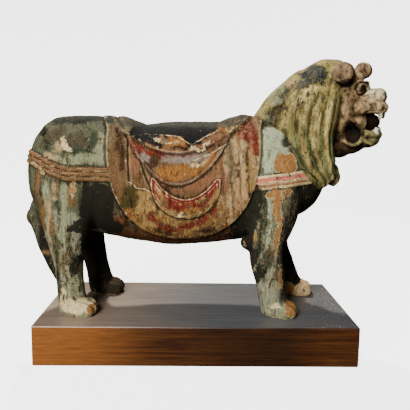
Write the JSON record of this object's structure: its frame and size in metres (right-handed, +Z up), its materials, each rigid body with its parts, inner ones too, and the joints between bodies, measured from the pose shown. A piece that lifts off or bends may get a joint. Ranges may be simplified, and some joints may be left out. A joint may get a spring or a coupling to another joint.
{
  "type": "ship figurehead",
  "caption": "Standing guardian lion carved in wood and painted, saddled with a draped cloth, head turned aside with open mouth, mounted on a plain rectangular wooden plinth.",
  "frame": {"origin": "centre of the plinth's underside", "axes": "+X the way the lion's body faces, -Y the side its head is turned to, +Z up"},
  "size_m": [0.5337, 0.216, 0.4299],
  "materials": {
    "lion": "worn matt paint over gesso on bare wood",
    "plinth": "stained and waxed, slightly glossy"
  },
  "bodies": {
    "root": {"lion": "lion", "plinth": "plinth"}
  },
  "joints": []
}
